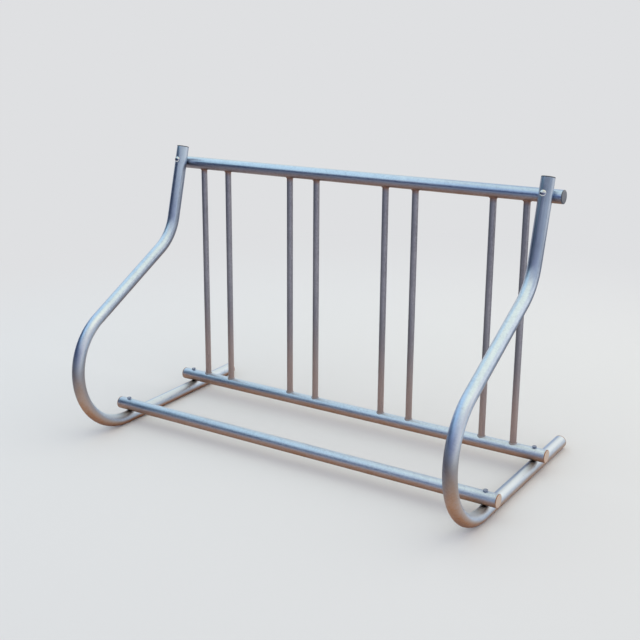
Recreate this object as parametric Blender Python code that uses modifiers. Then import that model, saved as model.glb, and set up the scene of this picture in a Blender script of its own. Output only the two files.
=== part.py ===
"""Bicycle rack of galvanised pipe: two bent side frames, three rails and eight pickets, bolted together.

+X runs along the rails, +Y to the back and +Z up. The origin is on the ground, under the middle of the rack.
"""

import math

import bmesh
import bpy
from mathutils import Matrix, Vector

# Pipe: one size for the side frames and the rails, and a smaller one for the pickets
TUBE_RADIUS = 0.0211
TUBE_WALL = 0.0026
PICKET_RADIUS = 0.01065
PICKET_WALL = 0.0023
TUBE_SIDES = 24
PICKET_SIDES = 16
BORE_SIDES = 12

# Air between two pieces that touch on the real rack, and how far a cutter runs past what it cuts
GAP = 0.0003
OVERSHOOT = 0.01

# Overall depth and length, over the end plugs
DEPTH = 0.831
RAIL_LENGTH = 1.480
FRAME_SPAN = 1.396

# Side frame, seen from its side: a ground tube, a front bend, a straight rise, an upper bend and an upright
FRONT_BEND_RADIUS = 0.210
RISE_ANGLE = math.radians(28.25)
RISE_LENGTH = 0.375
UPPER_BEND_RADIUS = 0.170
UPRIGHT_LEAN = math.radians(16.8)
FRAME_HEIGHT = 0.9375
BEND_STEP = math.radians(9)

# Lower rails: the rear one lies behind the centre of the front bend
REAR_RAIL_SETBACK = 0.376
LOWER_RAIL_SPACING = 0.356
TOP_RAIL_HEIGHT = 0.879

# Pickets stand in four pairs, and a wheel goes between the two of a pair
PAIR_PITCH = 0.380
PAIR_WIDTH = 0.110
PAIR_COUNT = 4
WELD_LEG = 0.0045
WELD_THROAT = 0.0026

# End plug: a thin domed cap on a sleeve that is pushed into the pipe
PLUG_CAP = 0.003
PLUG_DOME = 0.0005
PLUG_EDGE = 0.0012
PLUG_SLEEVE = 0.014
PLUG_WALL = 0.003

# M8 bolts with plain washers and hexagon nuts
SHANK_RADIUS = 0.004
HOLE_RADIUS = 0.0045
DOME_RADIUS = 0.010
DOME_HEIGHT = 0.005
DOME_RIM = 0.0008
DOME_RINGS = 5
HEX_FLATS = 0.013
HEX_CHAMFER = 0.0011
HEX_HEAD_HEIGHT = 0.0053
NUT_HEIGHT = 0.0065
WASHER_RADIUS = 0.008
WASHER_THICKNESS = 0.0016
THREAD_SPARE = 0.003
THREAD_CHAMFER = 0.0008
ACCESS_RADIUS = 0.010

# Faces round a turned piece, and round a shank or a drilled hole
TURN_STEPS = 20
ROUND_STEPS = 12

# Places worked out from the sizes above
FRONT_BEND_Y = -DEPTH / 2 + TUBE_RADIUS + FRONT_BEND_RADIUS
REAR_RAIL_Y = FRONT_BEND_Y + REAR_RAIL_SETBACK
FRONT_RAIL_Y = REAR_RAIL_Y - LOWER_RAIL_SPACING
LOWER_RAIL_Z = 3 * TUBE_RADIUS + GAP
INNER_RADIUS = TUBE_RADIUS - TUBE_WALL
SIDES = (("left", -FRAME_SPAN / 2), ("right", FRAME_SPAN / 2))

# Finishes: name, colour, roughness and metallic value
PIPE_FINISH = ("galvanised_pipe", (0.48, 0.52, 0.58), 0.32, 1.0)
FASTENER_FINISH = ("zinc_plated_steel", (0.66, 0.68, 0.70), 0.25, 1.0)
CAP_FINISH = ("pressed_steel_cap", (0.55, 0.54, 0.53), 0.40, 1.0)


def clear_scene():
    for obj in list(bpy.data.objects):
        bpy.data.objects.remove(obj, do_unlink=True)


def new_collection(name, hidden=False):
    group = bpy.data.collections.new(name)
    bpy.context.scene.collection.children.link(group)
    group.hide_render = hidden
    return group


def material(finish):
    name, colour, roughness, metallic = finish
    if name in bpy.data.materials:
        return bpy.data.materials[name]
    made = bpy.data.materials.new(name)
    made.use_nodes = True
    shader = made.node_tree.nodes["Principled BSDF"]
    shader.inputs["Base Color"].default_value = (*colour, 1.0)
    shader.inputs["Roughness"].default_value = roughness
    shader.inputs["Metallic"].default_value = metallic
    return made


def add_object(name, mesh, group):
    obj = bpy.data.objects.new(name, mesh)
    group.objects.link(obj)
    return obj


def add_cutter(name, mesh):
    cutter = add_object(name, mesh, cutters)
    cutter.hide_render = True
    cutter.display_type = "WIRE"
    return cutter


def evaluated_mesh(obj):
    bpy.context.view_layer.update()
    graph = bpy.context.evaluated_depsgraph_get()
    return bpy.data.meshes.new_from_object(obj.evaluated_get(graph))


def piece(name, mesh, finish, place=None):
    """A finished sub-part: smooth on its round faces, crisp on its edges."""
    obj = add_object(name, mesh, parts)
    if place is not None:
        obj.matrix_world = place
    mesh.shade_smooth()
    mesh.set_sharp_from_angle(angle=math.radians(35))
    if not mesh.materials:
        mesh.materials.append(material(finish))
    return obj


def cut(obj, cutter, operation="DIFFERENCE"):
    modifier = obj.modifiers.new(cutter.name, "BOOLEAN")
    modifier.operation = operation
    modifier.object = cutter


def along(axis, origin, roll=0.0):
    """The matrix that stands a piece's local Z along the axis, turned about it by the roll."""
    turn = Vector(axis).to_track_quat("Z", "Y").to_matrix().to_4x4()
    return Matrix.Translation(Vector(origin)) @ turn @ Matrix.Rotation(roll, 4, "Z")


def bar_mesh(name, radius, length, sides, middle=0.0):
    """A bar along local Z whose flats lie at the radius, one of them square to local X."""
    mesh = bpy.data.meshes.new(name)
    shape = bmesh.new()
    corner = radius / math.cos(math.pi / sides)
    turned = Matrix.Translation((0, 0, middle)) @ Matrix.Rotation(math.pi / sides, 4, "Z")
    bmesh.ops.create_cone(
        shape, cap_ends=True, segments=sides, radius1=corner, radius2=corner, depth=length, matrix=turned
    )
    shape.to_mesh(mesh)
    shape.free()
    return mesh


def turned_mesh(name, profile, steps, closed=False):
    """The solid that the profile's (radius, height) points give when they turn about local Z."""
    outline = bpy.data.meshes.new(name)
    points = [(radius, 0, height) for radius, height in profile]
    edges = [(index, index + 1) for index in range(len(points) - 1)]
    if closed:
        edges.append((len(points) - 1, 0))
    outline.from_pydata(points, edges, [])
    guide = add_cutter(name + "_profile", outline)
    screw = guide.modifiers.new("turn", "SCREW")
    screw.steps = steps
    screw.render_steps = steps
    screw.use_merge_vertices = True
    screw.merge_threshold = 0.00001
    mesh = evaluated_mesh(guide)
    bpy.data.objects.remove(guide, do_unlink=True)
    mesh.name = name
    return mesh


def bar_along(name, path, radius, sides):
    """A solid bar that follows the path, with flats at the radius and its end caps welded on."""
    curve = bpy.data.curves.new(name, "CURVE")
    curve.dimensions = "3D"
    curve.twist_mode = "MINIMUM"
    curve.bevel_depth = radius / math.cos(math.pi / sides)
    curve.bevel_resolution = (sides - 4) // 2
    curve.use_fill_caps = True
    spline = curve.splines.new("POLY")
    spline.points.add(len(path) - 1)
    for point, place in zip(spline.points, path):
        point.co = (*place, 1)
        point.tilt = math.pi / sides
    guide = add_cutter(name + "_curve", curve)
    mesh = evaluated_mesh(guide)
    bpy.data.objects.remove(guide, do_unlink=True)
    shape = bmesh.new()
    shape.from_mesh(mesh)
    bmesh.ops.remove_doubles(shape, verts=shape.verts, dist=0.00001)
    shape.to_mesh(mesh)
    shape.free()
    return mesh


def arc(centre, radius, start, end):
    """Points in the YZ plane on an arc, angles measured from +Y towards +Z."""
    count = max(2, round(abs(end - start) / BEND_STEP))
    for index in range(count + 1):
        angle = start + (end - start) * index / count
        yield Vector((0, centre.y + radius * math.cos(angle), centre.z + radius * math.sin(angle)))


def side_frame_path():
    """The centre line of a side frame, from its rear end on the ground round the front to its top."""
    rear_end = Vector((0, DEPTH / 2 - PLUG_CAP, TUBE_RADIUS))
    front_centre = Vector((0, FRONT_BEND_Y, TUBE_RADIUS + FRONT_BEND_RADIUS))
    quarter = math.pi / 2
    path = [rear_end]
    path += arc(front_centre, FRONT_BEND_RADIUS, -quarter, -3 * quarter + RISE_ANGLE)
    rise = Vector((0, math.cos(RISE_ANGLE), math.sin(RISE_ANGLE)))
    rise_end = path[-1] + rise * RISE_LENGTH
    upper_centre = rise_end + Vector((0, -rise.z, rise.y)) * UPPER_BEND_RADIUS
    path += arc(upper_centre, UPPER_BEND_RADIUS, RISE_ANGLE - quarter, -UPRIGHT_LEAN)
    path.append(path[-1] + UPRIGHT * ((FRAME_HEIGHT - path[-1].z) / UPRIGHT.z))
    return path


def drill(name, x, place, radius=HOLE_RADIUS, depth=0.2, axis=(0, 0, 1)):
    """A cutter for a round hole, centred on the place."""
    cutter = add_cutter(name, bar_mesh(name, radius, depth, ROUND_STEPS))
    cutter.matrix_world = along(axis, (x, place.y, place.z))
    return cutter


def make_side_frames():
    frame = add_cutter("side_frame_shape", bar_along("side_frame", PATH, TUBE_RADIUS, TUBE_SIDES))
    past_rear = PATH[0] + Vector((0, OVERSHOOT, 0))
    past_top = PATH[-1] + UPRIGHT * OVERSHOOT
    bore_path = [past_rear, *PATH[1:-1], past_top]
    cut(frame, add_cutter("side_frame_bore", bar_along("bore", bore_path, INNER_RADIUS, BORE_SIDES)))
    cut(frame, drill("frame_top_hole", 0, BOLT_POINT, axis=BOLT_AXIS))
    for rail_name, rail_y in (("front", FRONT_RAIL_Y), ("rear", REAR_RAIL_Y)):
        upper_wall = Vector((0, rail_y, 2 * TUBE_RADIUS))
        lower_wall = Vector((0, rail_y, 0))
        cut(frame, drill("frame_" + rail_name + "_hole", 0, upper_wall, depth=TUBE_RADIUS))
        cut(frame, drill("frame_" + rail_name + "_access", 0, lower_wall, ACCESS_RADIUS, TUBE_RADIUS))
    mesh = evaluated_mesh(frame)
    for side, x in SIDES:
        piece("side_frame_" + side, mesh, PIPE_FINISH, Matrix.Translation((x, 0, 0)))


def make_rail(name, place, axis, roll):
    """A straight pipe with a bolt hole through both walls near each end."""
    rail = add_cutter(name + "_shape", bar_mesh(name, TUBE_RADIUS, RAIL_LENGTH - 2 * PLUG_CAP, TUBE_SIDES))
    rail.matrix_world = along((1, 0, 0), place, roll)
    bore = add_cutter(name + "_bore", bar_mesh(name, INNER_RADIUS, RAIL_LENGTH + OVERSHOOT, BORE_SIDES))
    bore.matrix_world = rail.matrix_world
    cut(rail, bore)
    for side, x in SIDES:
        cut(rail, drill(name + "_hole_" + side, x, place, axis=axis))
    mesh = evaluated_mesh(rail)
    piece(name, mesh, PIPE_FINISH, rail.matrix_world)
    for side, direction in (("left", -1), ("right", 1)):
        end = place + Vector((direction * (RAIL_LENGTH / 2 - PLUG_CAP), 0, 0))
        piece(name + "_plug_" + side, PLUG, CAP_FINISH, along((direction, 0, 0), end))


def plug_mesh():
    """The cap stands proud of the pipe's end, and the hollow sleeve goes inside it. Local Z points out."""
    sleeve_radius = INNER_RADIUS - GAP
    profile = [
        (0, PLUG_CAP),
        (TUBE_RADIUS - PLUG_EDGE, PLUG_CAP - PLUG_DOME),
        (TUBE_RADIUS, PLUG_CAP - PLUG_DOME - PLUG_EDGE),
        (TUBE_RADIUS, GAP),
        (sleeve_radius, GAP),
        (sleeve_radius, GAP - PLUG_SLEEVE),
        (sleeve_radius - PLUG_WALL, GAP - PLUG_SLEEVE),
        (sleeve_radius - PLUG_WALL, 0),
        (0, 0),
    ]
    return turned_mesh("end_plug", profile, TURN_STEPS)


def make_frame_plugs():
    for side, x in SIDES:
        rear = PATH[0] + Vector((x, 0, 0))
        top = PATH[-1] + Vector((x, 0, 0))
        piece("side_frame_rear_plug_" + side, PLUG, CAP_FINISH, along((0, 1, 0), rear))
        piece("side_frame_top_plug_" + side, PLUG, CAP_FINISH, along(UPRIGHT, top))


def picket_mesh(length):
    """A picket along local Z between the axes of its two rails, flared by the weld at each end."""
    inner = PICKET_RADIUS - PICKET_WALL
    crown = length / 2 - TUBE_RADIUS
    weld_foot = PICKET_RADIUS + WELD_LEG
    foot_drop = TUBE_RADIUS - math.sqrt(TUBE_RADIUS**2 - weld_foot**2)
    upper = [
        (weld_foot, length / 2),
        (weld_foot, crown + foot_drop),
        (PICKET_RADIUS + WELD_THROAT, crown),
        (PICKET_RADIUS, crown - WELD_LEG),
    ]
    lower = [(radius, -height) for radius, height in reversed(upper)]
    bore = [(inner, -length / 2), (inner, length / 2)]
    return turned_mesh("picket", upper + lower + bore, PICKET_SIDES, closed=True)


def make_pickets():
    span = TOP_RAIL - REAR_RAIL
    middle = (TOP_RAIL + REAR_RAIL) / 2
    shape = add_cutter("picket_shape", picket_mesh(span.length))
    shape.matrix_world = along(span, middle)
    for name, place, roll in (("upper_cope", TOP_RAIL, -UPRIGHT_LEAN), ("lower_cope", REAR_RAIL, 0)):
        cope = add_cutter(name, bar_mesh(name, TUBE_RADIUS + GAP, 0.1, TUBE_SIDES))
        cope.matrix_world = along((1, 0, 0), place, roll)
        cut(shape, cope)
    mesh = evaluated_mesh(shape)
    for index in range(PAIR_COUNT):
        pair_x = (index - (PAIR_COUNT - 1) / 2) * PAIR_PITCH
        for number, x in enumerate((pair_x - PAIR_WIDTH / 2, pair_x + PAIR_WIDTH / 2)):
            place = Matrix.Translation((x, 0, 0)) @ shape.matrix_world
            piece("picket_%d" % (2 * index + number + 1), mesh, PIPE_FINISH, place)


def shank_points(length):
    return [
        (SHANK_RADIUS, 0),
        (SHANK_RADIUS, THREAD_CHAMFER - length),
        (SHANK_RADIUS - THREAD_CHAMFER, -length),
        (0, -length),
    ]


def dome_bolt_mesh(length):
    """Head up: local Z is zero under the head."""
    head = []
    for ring in range(DOME_RINGS + 1):
        turn = math.pi / 2 * ring / DOME_RINGS
        head.append((DOME_RADIUS * math.sin(turn), DOME_RIM + (DOME_HEIGHT - DOME_RIM) * math.cos(turn)))
    return turned_mesh("dome_bolt", [*head, (DOME_RADIUS, 0), *shank_points(length)], TURN_STEPS)


def flip_outward(mesh):
    shape = bmesh.new()
    shape.from_mesh(mesh)
    bmesh.ops.recalc_face_normals(shape, faces=shape.faces)
    shape.to_mesh(mesh)
    shape.free()


def hex_mesh(name, height, hole_radius=0.0):
    """A hexagon standing on local Z zero, chamfered on its upper corners, with or without a hole."""
    corner = HEX_FLATS / 2 / math.cos(math.pi / 6)
    shape = add_cutter(name + "_shape", bar_mesh(name, HEX_FLATS / 2, height, 6, height / 2))
    chamfer_profile = [
        (HEX_FLATS / 2, height + GAP / 10),
        (corner + GAP, height - HEX_CHAMFER),
        (corner + GAP, height + HEX_CHAMFER),
        (HEX_FLATS / 2, height + HEX_CHAMFER),
    ]
    chamfer = turned_mesh(name + "_chamfer", chamfer_profile, TURN_STEPS, closed=True)
    flip_outward(chamfer)
    cut(shape, add_cutter(name + "_chamfer", chamfer))
    if hole_radius:
        cut(shape, add_cutter(name + "_hole", bar_mesh(name, hole_radius, 4 * height, ROUND_STEPS)))
    return evaluated_mesh(shape)


def hex_bolt_mesh(length):
    head = add_cutter("hex_bolt_head", hex_mesh("hex_head", HEX_HEAD_HEIGHT))
    shank = [(0, HEX_HEAD_HEIGHT / 2), (SHANK_RADIUS, HEX_HEAD_HEIGHT / 2), *shank_points(length)[1:]]
    cut(head, add_cutter("hex_bolt_shank", turned_mesh("hex_bolt_shank", shank, ROUND_STEPS)), "UNION")
    return evaluated_mesh(head)


def washer_mesh():
    ring = [
        (WASHER_RADIUS, WASHER_THICKNESS),
        (WASHER_RADIUS, 0),
        (HOLE_RADIUS, 0),
        (HOLE_RADIUS, WASHER_THICKNESS),
    ]
    mesh = turned_mesh("washer", ring, TURN_STEPS, closed=True)
    flip_outward(mesh)
    return mesh


def make_top_fasteners():
    """A domed bolt through each upright and the top rail, with its washer and nut behind the rail."""
    washer_height = 3 * TUBE_RADIUS + 2 * GAP
    nut_height = washer_height + WASHER_THICKNESS + GAP
    length = TUBE_RADIUS + nut_height + NUT_HEIGHT + THREAD_SPARE
    bolt = dome_bolt_mesh(length + GAP)
    for side, x in SIDES:
        head = BOLT_POINT - BOLT_AXIS * (TUBE_RADIUS + GAP) + Vector((x, 0, 0))
        middle = BOLT_POINT + Vector((x, 0, 0))
        washer_place = along(BOLT_AXIS, middle + BOLT_AXIS * washer_height)
        nut_place = along(BOLT_AXIS, middle + BOLT_AXIS * nut_height)
        piece("top_bolt_" + side, bolt, FASTENER_FINISH, along(-BOLT_AXIS, head))
        piece("top_washer_" + side, WASHER, FASTENER_FINISH, washer_place)
        piece("top_nut_" + side, NUT, FASTENER_FINISH, nut_place)


def make_lower_fasteners():
    """A hexagon bolt down through each end of a lower rail, its washer and nut inside the ground tube."""
    down = Vector((0, 0, -1))
    head_z = LOWER_RAIL_Z + TUBE_RADIUS + GAP
    washer_rest = math.sqrt(INNER_RADIUS**2 - WASHER_RADIUS**2)
    washer_z = TUBE_RADIUS + washer_rest - GAP
    nut_z = washer_z - WASHER_THICKNESS - GAP
    bolt = hex_bolt_mesh(head_z - nut_z + NUT_HEIGHT + THREAD_SPARE)
    for rail_name, rail_y in (("front", FRONT_RAIL_Y), ("rear", REAR_RAIL_Y)):
        for side, x in SIDES:
            ending = "_" + rail_name + "_" + side
            piece("lower_bolt" + ending, bolt, FASTENER_FINISH, along(-down, (x, rail_y, head_z)))
            piece("lower_washer" + ending, WASHER, FASTENER_FINISH, along(down, (x, rail_y, washer_z)))
            piece("lower_nut" + ending, NUT, FASTENER_FINISH, along(down, (x, rail_y, nut_z)))


clear_scene()
parts = new_collection("bicycle_rack")
cutters = new_collection("cutters", hidden=True)

UPRIGHT = Vector((0, math.sin(UPRIGHT_LEAN), math.cos(UPRIGHT_LEAN)))
BOLT_AXIS = Vector((0, math.cos(UPRIGHT_LEAN), -math.sin(UPRIGHT_LEAN)))
PATH = side_frame_path()
RAIL_OFFSET = BOLT_AXIS * (2 * TUBE_RADIUS + GAP)
BOLT_POINT = PATH[-1] - UPRIGHT * ((PATH[-1].z + RAIL_OFFSET.z - TOP_RAIL_HEIGHT) / UPRIGHT.z)
TOP_RAIL = BOLT_POINT + RAIL_OFFSET
REAR_RAIL = Vector((0, REAR_RAIL_Y, LOWER_RAIL_Z))
FRONT_RAIL = Vector((0, FRONT_RAIL_Y, LOWER_RAIL_Z))
PLUG = plug_mesh()
WASHER = washer_mesh()
NUT = hex_mesh("nut", NUT_HEIGHT, HOLE_RADIUS)

make_side_frames()
make_rail("top_rail", TOP_RAIL, BOLT_AXIS, -UPRIGHT_LEAN)
make_rail("front_lower_rail", FRONT_RAIL, (0, 0, 1), 0)
make_rail("rear_lower_rail", REAR_RAIL, (0, 0, 1), 0)
make_frame_plugs()
make_pickets()
make_top_fasteners()
make_lower_fasteners()
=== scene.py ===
"""Bicycle rack of bent galvanised pipe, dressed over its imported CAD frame. Lengths are in metres."""

import math

import bpy
from mathutils import Matrix, Vector


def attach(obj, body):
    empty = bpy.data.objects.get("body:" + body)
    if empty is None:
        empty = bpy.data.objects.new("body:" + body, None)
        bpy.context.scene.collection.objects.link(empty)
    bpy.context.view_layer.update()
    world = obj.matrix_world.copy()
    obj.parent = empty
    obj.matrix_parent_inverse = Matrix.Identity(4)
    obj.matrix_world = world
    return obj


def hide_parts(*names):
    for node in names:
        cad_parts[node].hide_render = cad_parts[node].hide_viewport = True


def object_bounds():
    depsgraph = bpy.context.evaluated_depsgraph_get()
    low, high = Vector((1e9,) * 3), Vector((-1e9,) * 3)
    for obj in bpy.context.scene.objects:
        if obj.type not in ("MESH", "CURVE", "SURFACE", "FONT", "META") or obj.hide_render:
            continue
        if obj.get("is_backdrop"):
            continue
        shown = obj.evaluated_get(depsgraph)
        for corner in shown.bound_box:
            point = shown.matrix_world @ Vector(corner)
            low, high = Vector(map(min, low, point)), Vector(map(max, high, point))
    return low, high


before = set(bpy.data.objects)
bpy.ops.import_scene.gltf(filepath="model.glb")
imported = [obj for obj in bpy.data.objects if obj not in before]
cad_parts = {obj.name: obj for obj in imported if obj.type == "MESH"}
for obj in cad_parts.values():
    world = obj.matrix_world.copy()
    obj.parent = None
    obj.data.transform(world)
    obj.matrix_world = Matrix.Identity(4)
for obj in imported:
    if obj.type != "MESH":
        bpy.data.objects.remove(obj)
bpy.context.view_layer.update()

# Camera: stands to the right front at head height and looks down at the rack, from the place and
# with the lens that fit the photograph.
LENS_MM = 59.5
SENSOR_MM = 36
CAMERA_PLACE = (1.8558, -2.7107, 1.4742)
YAW = math.radians(34.082)
PITCH = math.radians(17.440)
ROLL = math.radians(-1.099)
SHIFT = (0.00028, 0.00175)
SEES_AS_FAR_AS = 100

looking = Vector((-math.sin(YAW) * math.cos(PITCH), math.cos(YAW) * math.cos(PITCH), -math.sin(PITCH)))
level = Vector((math.cos(YAW), math.sin(YAW), 0))
above = level.cross(looking)
camera_right = level * math.cos(ROLL) + above * math.sin(ROLL)
camera_up = above * math.cos(ROLL) - level * math.sin(ROLL)
stance = Matrix((camera_right, camera_up, -looking)).transposed().to_4x4()
bpy.ops.object.camera_add()
camera = bpy.context.object
camera.name = "camera"
camera.matrix_world = Matrix.Translation(CAMERA_PLACE) @ stance
camera.data.lens = LENS_MM
camera.data.sensor_width = SENSOR_MM
camera.data.shift_x = SHIFT[0]
camera.data.shift_y = SHIFT[1]
camera.data.clip_end = SEES_AS_FAR_AS
bpy.context.scene.camera = camera
bpy.context.scene.view_settings.view_transform = "Standard"

# Floor and backdrop: a matt painted floor that runs out into a backdrop of its own colour. The
# camera and the metal see that colour, and an even pale sky lights the rack.
BACKDROP = "#DFE0E2"
FLOOR_PAINT = "#DDDEE0"
FLOOR_RADIUS = 30.0
FLOOR_FADES = (1.3, 3.2)
STIPPLE_MM = 5.6
SKY = "#F8F8FF"
SKY_STRENGTH = 0.96


def colour(written):
    """An sRGB hex colour as the linear one that a shader takes."""
    channels = [int(written[i:i + 2], 16) / 255 for i in (1, 3, 5)]
    return [c / 12.92 if c <= 0.04045 else ((c + 0.055) / 1.055) ** 2.4 for c in channels] + [1.0]


def put(tree, kind, feeds=(), stops=(), **settings):
    """A node with its settings, for each socket a value or the socket that feeds it, and ramp stops."""
    made = tree.nodes.new("ShaderNode" + kind)
    for name, value in settings.items():
        setattr(made, name, value)
    for socket, value in dict(feeds).items():
        if isinstance(value, bpy.types.NodeSocket):
            tree.links.new(value, made.inputs[socket])
        else:
            made.inputs[socket].default_value = value
    for number, (position, shade) in enumerate(stops):
        ramp = made.color_ramp.elements
        if number == 0:
            ramp.remove(ramp[1])
            ramp[0].position = position
        stop = ramp[0] if number == 0 else ramp.new(position)
        stop.color = colour(shade)
    return made


def new_finish(name, blank=True):
    """A material and its node tree, empty for the studio and with its plain shader for the rack."""
    made = bpy.data.materials.new(name)
    made.use_nodes = True
    if blank:
        made.node_tree.nodes.clear()
    return made, made.node_tree


world = bpy.data.worlds.new("studio")
bpy.context.scene.world = world
world.use_nodes = True
tree = world.node_tree
tree.nodes.clear()
path = put(tree, "LightPath").outputs
mirrored = put(tree, "Math", {0: path["Is Camera Ray"], 1: path["Is Glossy Ray"]}, operation="MAXIMUM")
seen = put(tree, "Math", {0: mirrored.outputs[0], 1: path["Is Transmission Ray"]}, operation="MAXIMUM")
shown = put(tree, "Background", {"Color": colour(BACKDROP), "Strength": 1.0})
lighting = put(tree, "Background", {"Color": colour(SKY), "Strength": SKY_STRENGTH})
mixed = put(tree, "MixShader", {0: seen.outputs[0], 1: lighting.outputs[0], 2: shown.outputs[0]})
put(tree, "OutputWorld", {"Surface": mixed.outputs[0]})

# Matt emulsion paint, rolled on: its stipple scatters the light, so that the floor mirrors
# nothing. The stipple is drawn coarser than the real one of about 1 mm.
floor_paint, tree = new_finish("matt_studio_floor")
place = put(tree, "TexCoord").outputs["Object"]
distance = put(tree, "VectorMath", {0: place}, operation="LENGTH").outputs["Value"]
fades = {"Value": distance, "From Min": FLOOR_FADES[0], "From Max": FLOOR_FADES[1]}
far = put(tree, "MapRange", fades, interpolation_type="SMOOTHSTEP")
stipple = put(tree, "TexNoise", {"Vector": place, "Scale": 1000 / STIPPLE_MM, "Detail": 4.0})
relief = put(tree, "Bump", {"Height": stipple.outputs["Fac"], "Strength": 0.05, "Distance": 0.001})
painted = {"Color": colour(FLOOR_PAINT), "Roughness": 0.6, "Normal": relief.outputs[0]}
matt = put(tree, "BsdfDiffuse", painted)
sweep = put(tree, "Emission", {"Color": colour(BACKDROP), "Strength": 1.0})
ground = put(tree, "MixShader", {0: far.outputs[0], 1: matt.outputs[0], 2: sweep.outputs[0]})
put(tree, "OutputMaterial", {"Surface": ground.outputs[0]})

bpy.ops.mesh.primitive_circle_add(vertices=96, radius=FLOOR_RADIUS, fill_type="NGON", location=(0, 0, 0))
floor = bpy.context.object
floor.name = "floor"
floor.data.materials.append(floor_paint)
floor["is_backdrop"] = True

# Lamps: four softboxes, wide enough to lay long soft highlights along the pipes. A blue one on
# the left and a warm one behind on the right tint the two sides of each pipe. Tints are linear.
BLUE_LAMP = (0.28, 0.88, 1.0)
YELLOW_LAMP = (1.0, 0.94, 0.45)
WARM_LAMP = (1.0, 0.86, 0.64)


def softbox(name, place, aim, width, height, radiance, tint):
    """A rectangular lamp that faces the aim and can't be seen itself."""
    bpy.ops.object.light_add(type="AREA", location=place)
    lamp = bpy.context.object
    lamp.name = name
    lamp.data.shape = "RECTANGLE"
    lamp.data.size = width
    lamp.data.size_y = height
    lamp.data.energy = radiance * math.pi * width * height
    lamp.data.color = tint
    lamp.rotation_euler = (Vector(aim) - Vector(place)).to_track_quat("-Z", "Y").to_euler()
    lamp.visible_camera = False


softbox("overhead_softbox", (1.3, 0.3, 3.7), (0.5, 0.1, 0), 4.4, 4.4, 0.50, YELLOW_LAMP)
softbox("left_softbox", (-2.6, -0.3, 3.5), (0, 0, 0.4), 6.0, 3.6, 0.29, BLUE_LAMP)
softbox("rear_right_softbox", (2.4, 3.0, 2.0), (0, 0, 0.3), 6.5, 3.4, 0.37, WARM_LAMP)
softbox("rear_left_softbox", (-2.4, 3.2, 2.6), (0, 0, 0.3), 4.0, 2.8, 0.18, YELLOW_LAMP)

# Flags: felt hung in a half circle round the front and sides, from dark on the left to pale on
# the right. It lights nothing and isn't seen, and only gives the pipes their dark line.
FLAG_RADIUS = 4.3
FLAG_HEIGHT = 3.5
FLAG_ENDS_Y = (0.75, 1.1)
FELT_NAP_MM = 25
FELT_BEARING = (-2.62, 0.25)
FELT_TONES = (
    (0, "#232948"), (0.24, "#3C4268"), (0.48, "#6E7398"), (0.68, "#A8AAC2"), (0.8, "#C4C8D6"),
    (0.9, "#DCDEE6"), (1, "#A0A2AC")
)
FELT_TOP = "#E4E8EE"
FELT_TOP_Z = (2.65, 3.7)
FELT_TOP_RISE = 1.3


def pick(*objects):
    """Selects these objects and nothing else, and works on the last."""
    bpy.ops.object.select_all(action="DESELECT")
    for obj in objects:
        obj.select_set(True)
    bpy.context.view_layer.objects.active = objects[-1]


def edit(select=None, kind="FACE"):
    """Goes into edit mode with all selected, or those faces or edges that the test picks by place."""
    obj = bpy.context.object
    if bpy.context.mode != "OBJECT":
        bpy.ops.object.mode_set(mode="OBJECT")
    bpy.ops.object.mode_set(mode="EDIT")
    bpy.ops.mesh.select_mode(type=kind)
    bpy.ops.mesh.select_all(action="DESELECT" if select else "SELECT")
    if select:
        bpy.ops.object.mode_set(mode="OBJECT")
        for part in obj.data.polygons if kind == "FACE" else obj.data.edges:
            part.select = select(part)
        bpy.ops.object.mode_set(mode="EDIT")


def done():
    bpy.ops.object.mode_set(mode="OBJECT")


def settle(obj):
    """Puts the object at the origin, unturned and unscaled, with its place in its mesh."""
    pick(obj)
    bpy.ops.object.transform_apply(location=True, rotation=True, scale=True)


def only_mirrored(obj, finish):
    """Finishes a stage cloth that shows in the metal, and neither in the picture nor in the light."""
    obj.data.materials.append(finish)
    obj.visible_camera = False
    obj.visible_shadow = False
    obj.visible_diffuse = False
    obj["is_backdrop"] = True


# Pressed wool felt: matt, its tone a little uneven with the nap, which is drawn far coarser than
# real so that it still breaks up the tone in a curved reflection.
felt, tree = new_finish("grey_flag_felt")
place = put(tree, "TexCoord").outputs["Object"]
along = put(tree, "SeparateXYZ", {0: place})
bearing = put(tree, "Math", {0: along.outputs["Y"], 1: along.outputs["X"]}, operation="ARCTAN2")
swing = {"Value": bearing.outputs[0], "From Min": FELT_BEARING[0], "From Max": FELT_BEARING[1]}
turn = put(tree, "MapRange", swing).outputs[0]
nap = put(tree, "TexNoise", {"Vector": place, "Scale": 1000 / FELT_NAP_MM, "Detail": 5.0}).outputs["Fac"]
napped = put(tree, "Math", {0: nap, 1: 0.02, 2: turn}, operation="MULTIPLY_ADD")
tones = put(tree, "ValToRGB", {"Fac": napped.outputs[0]}, stops=FELT_TONES)
slope = put(tree, "Math", {0: turn, 1: FELT_TOP_RISE, 2: along.outputs["Z"]}, operation="MULTIPLY_ADD")
crest = {"Value": slope.outputs[0], "From Min": FELT_TOP_Z[0], "From Max": FELT_TOP_Z[1]}
top = put(tree, "MapRange", crest, interpolation_type="SMOOTHSTEP")
fading = {0: top.outputs[0], 6: tones.outputs["Color"], 7: colour(FELT_TOP)}
wool = put(tree, "BsdfDiffuse", {"Color": put(tree, "Mix", fading, data_type="RGBA").outputs[2]})
put(tree, "OutputMaterial", {"Surface": wool.outputs[0]})

bpy.ops.mesh.primitive_cylinder_add(
    vertices=96, radius=FLAG_RADIUS, depth=FLAG_HEIGHT, end_fill_type="NOTHING",
    location=(0, 0, FLAG_HEIGHT / 2)
)
flags = bpy.context.object
flags.name = "flags"
settle(flags)
edit(lambda face: face.center.y > FLAG_ENDS_Y[face.center.x >= 0])
bpy.ops.mesh.delete(type="FACE")
done()
only_mirrored(flags, felt)

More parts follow.
